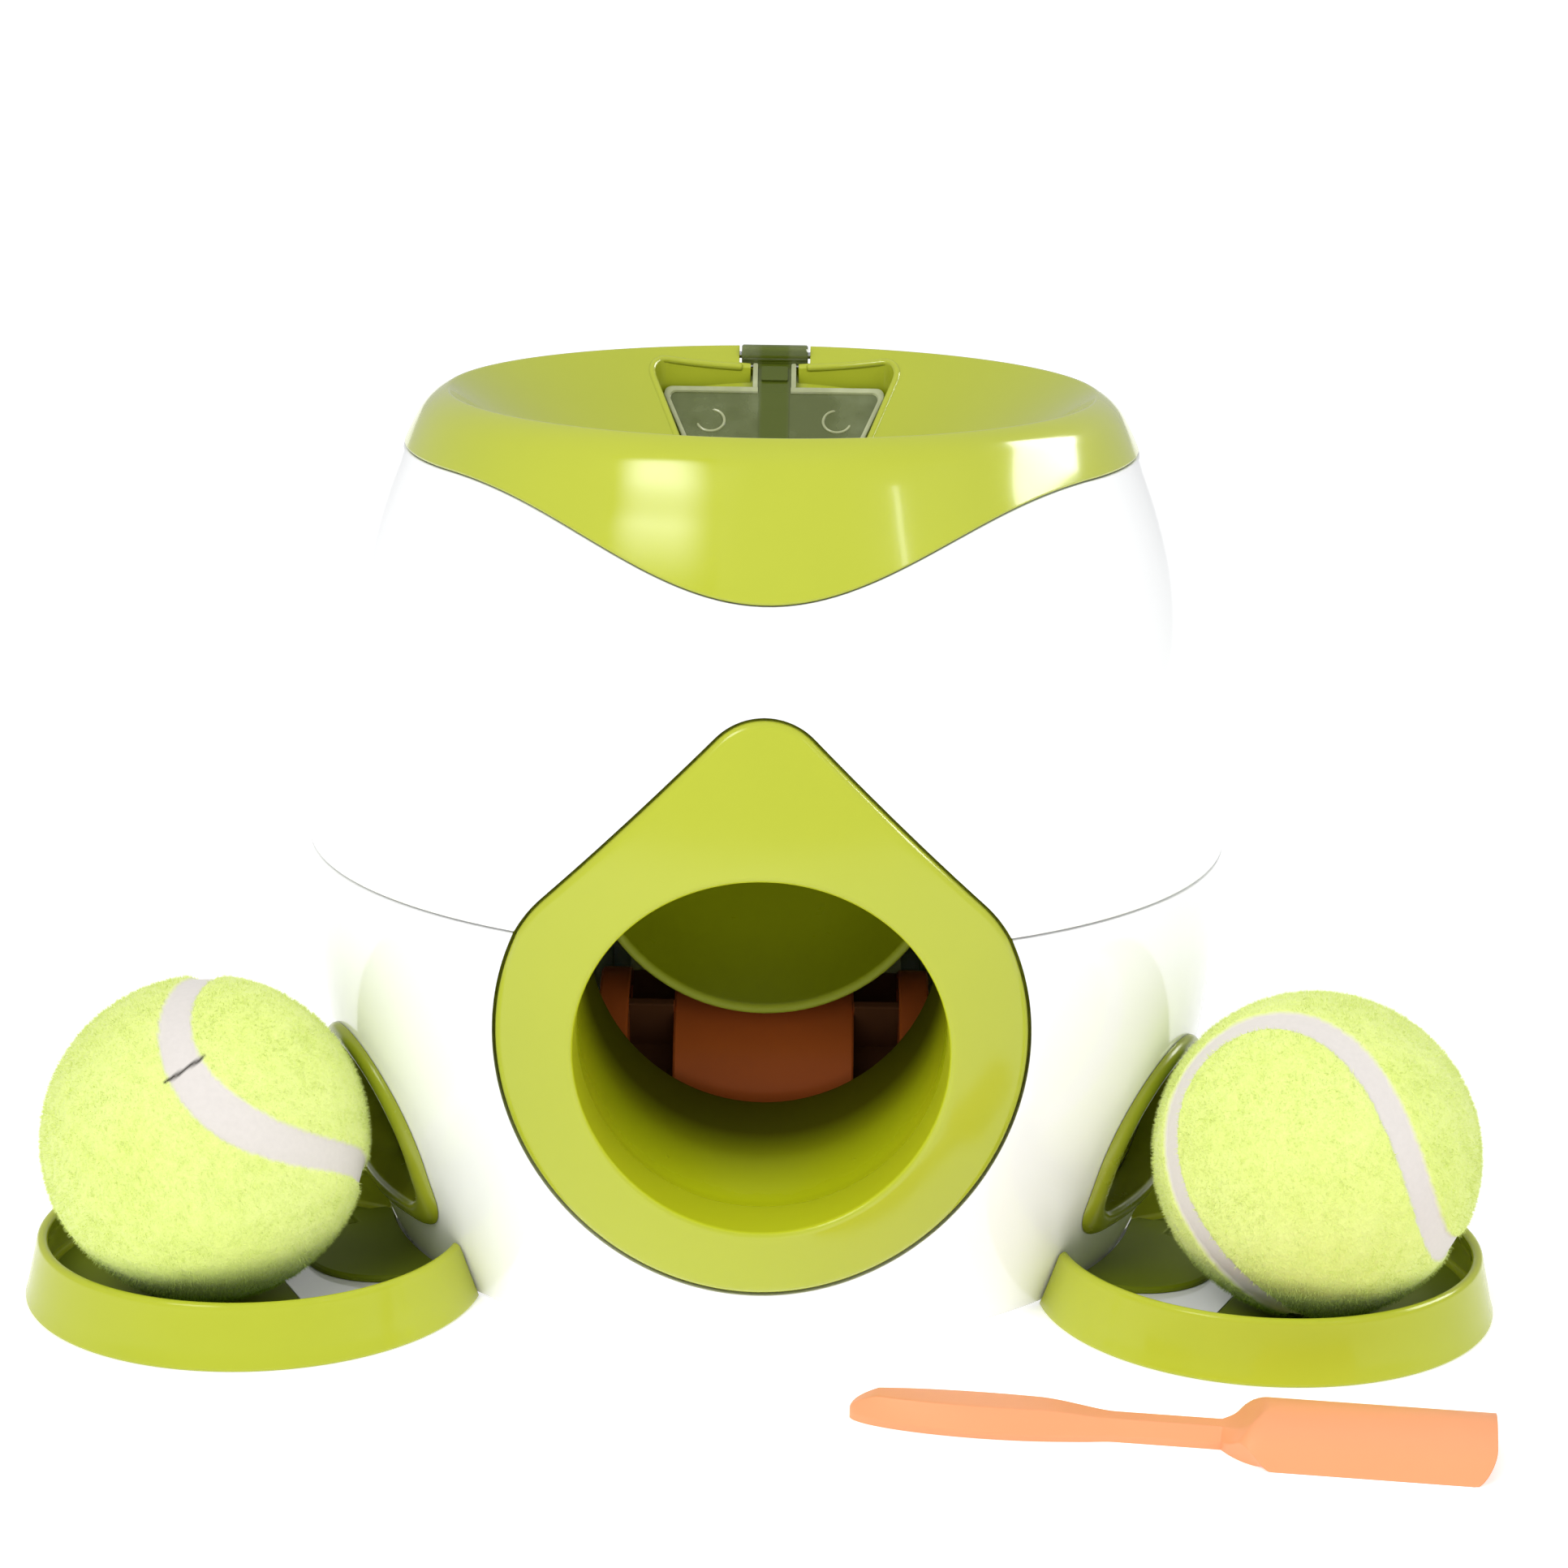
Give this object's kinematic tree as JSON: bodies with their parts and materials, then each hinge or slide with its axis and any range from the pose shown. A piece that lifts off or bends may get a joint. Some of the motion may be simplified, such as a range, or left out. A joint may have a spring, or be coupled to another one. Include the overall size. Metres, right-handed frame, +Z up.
{
  "type": "dog fetch ball and treat dispenser",
  "caption": "Barrel-shaped dog toy: a ball dropped in the funnel rolls past a treat wheel and out of the front, and treats fall into trays at the sides.",
  "frame": {"origin": "on the floor under the middle of the barrel-shaped body", "axes": "+Z up, -Y out of the front opening, +X to the right as seen from the front, so one tray stands on +X and its twin on -X"},
  "size_m": [0.2868, 0.2243, 0.172],
  "materials": {
    "white_plastic": "glossy moulded white plastic",
    "green_plastic": "glossy moulded lime green plastic",
    "orange_plastic": "satin moulded orange plastic",
    "smoke_clear": "smoke-tinted clear plastic",
    "natural_plastic": "natural unpainted plastic",
    "screw_steel": "zinc-plated steel",
    "foot_rubber": "soft grey rubber",
    "core_rubber": "moulded natural rubber",
    "ball_felt": "napped yellow-green felt with a pale rubber seam"
  },
  "bodies": {
    "housing": {"base_plate": "white_plastic", "lower_shell": "white_plastic", "upper_shell": "white_plastic", "funnel_top": "green_plastic", "ball_throat": "green_plastic", "throat_flange": "green_plastic", "front_frame": "green_plastic", "front_chute": "green_plastic", "ball_slide": "green_plastic", "hopper_bin": "natural_plastic", "shaft_bushes": "natural_plastic", "wheel_bracket_left": "natural_plastic", "wheel_bracket_right": "natural_plastic", "treat_trough_left": "green_plastic", "treat_trough_right": "green_plastic", "side_frame_left": "green_plastic", "side_frame_right": "green_plastic", "lid_hinge_pin": "screw_steel", "rubber_feet": "foot_rubber", "body_screws": "screw_steel", "funnel_screws": "screw_steel", "hopper_screws": "screw_steel", "slide_screws": "screw_steel", "bracket_screws": "screw_steel"},
    "lid": {"hopper_lid": "smoke_clear"},
    "wheel": {"treat_wheel": "orange_plastic", "wheel_shaft": "screw_steel"},
    "tray_right": {"tray_right": "green_plastic"},
    "tray_left": {"tray_left": "green_plastic"},
    "ball_right": {"ball_felt_right": "ball_felt", "ball_core_right": "core_rubber"},
    "ball_left": {"ball_felt_left": "ball_felt", "ball_core_left": "core_rubber"},
    "scoop": {"scoop": "orange_plastic"}
  },
  "joints": [
    {"name": "lid_hinge", "type": "hinge", "parent": "housing", "child": "lid", "pos_m": [0, 0.06224, 0.16976], "axis": [-1, 0, 0], "range_deg": [0, 95]},
    {"name": "wheel_spin", "type": "hinge", "parent": "housing", "child": "wheel", "pos_m": [0, -0.01, 0.03305], "axis": [1, 0, 0], "continuous": true},
    {"name": "tray_pull_right", "type": "slide", "parent": "housing", "child": "tray_right", "axis": [0.9063, -0.4226, 0], "range_m": [0, 0.045]},
    {"name": "ball_lift_right", "type": "slide", "parent": "tray_right", "child": "ball_right", "axis": [0.44, -0.2375, 0.866], "range_m": [0, 0.06]},
    {"name": "tray_pull_left", "type": "slide", "parent": "housing", "child": "tray_left", "axis": [-0.9063, -0.4226, 0], "range_m": [0, 0.045]},
    {"name": "ball_lift_left", "type": "slide", "parent": "tray_left", "child": "ball_left", "axis": [-0.44, -0.2375, 0.866], "range_m": [0, 0.06]},
    {"name": "scoop_lift", "type": "slide", "parent": "housing", "child": "scoop", "axis": [0, 0, 1], "range_m": [0, 0.1]}
  ]
}
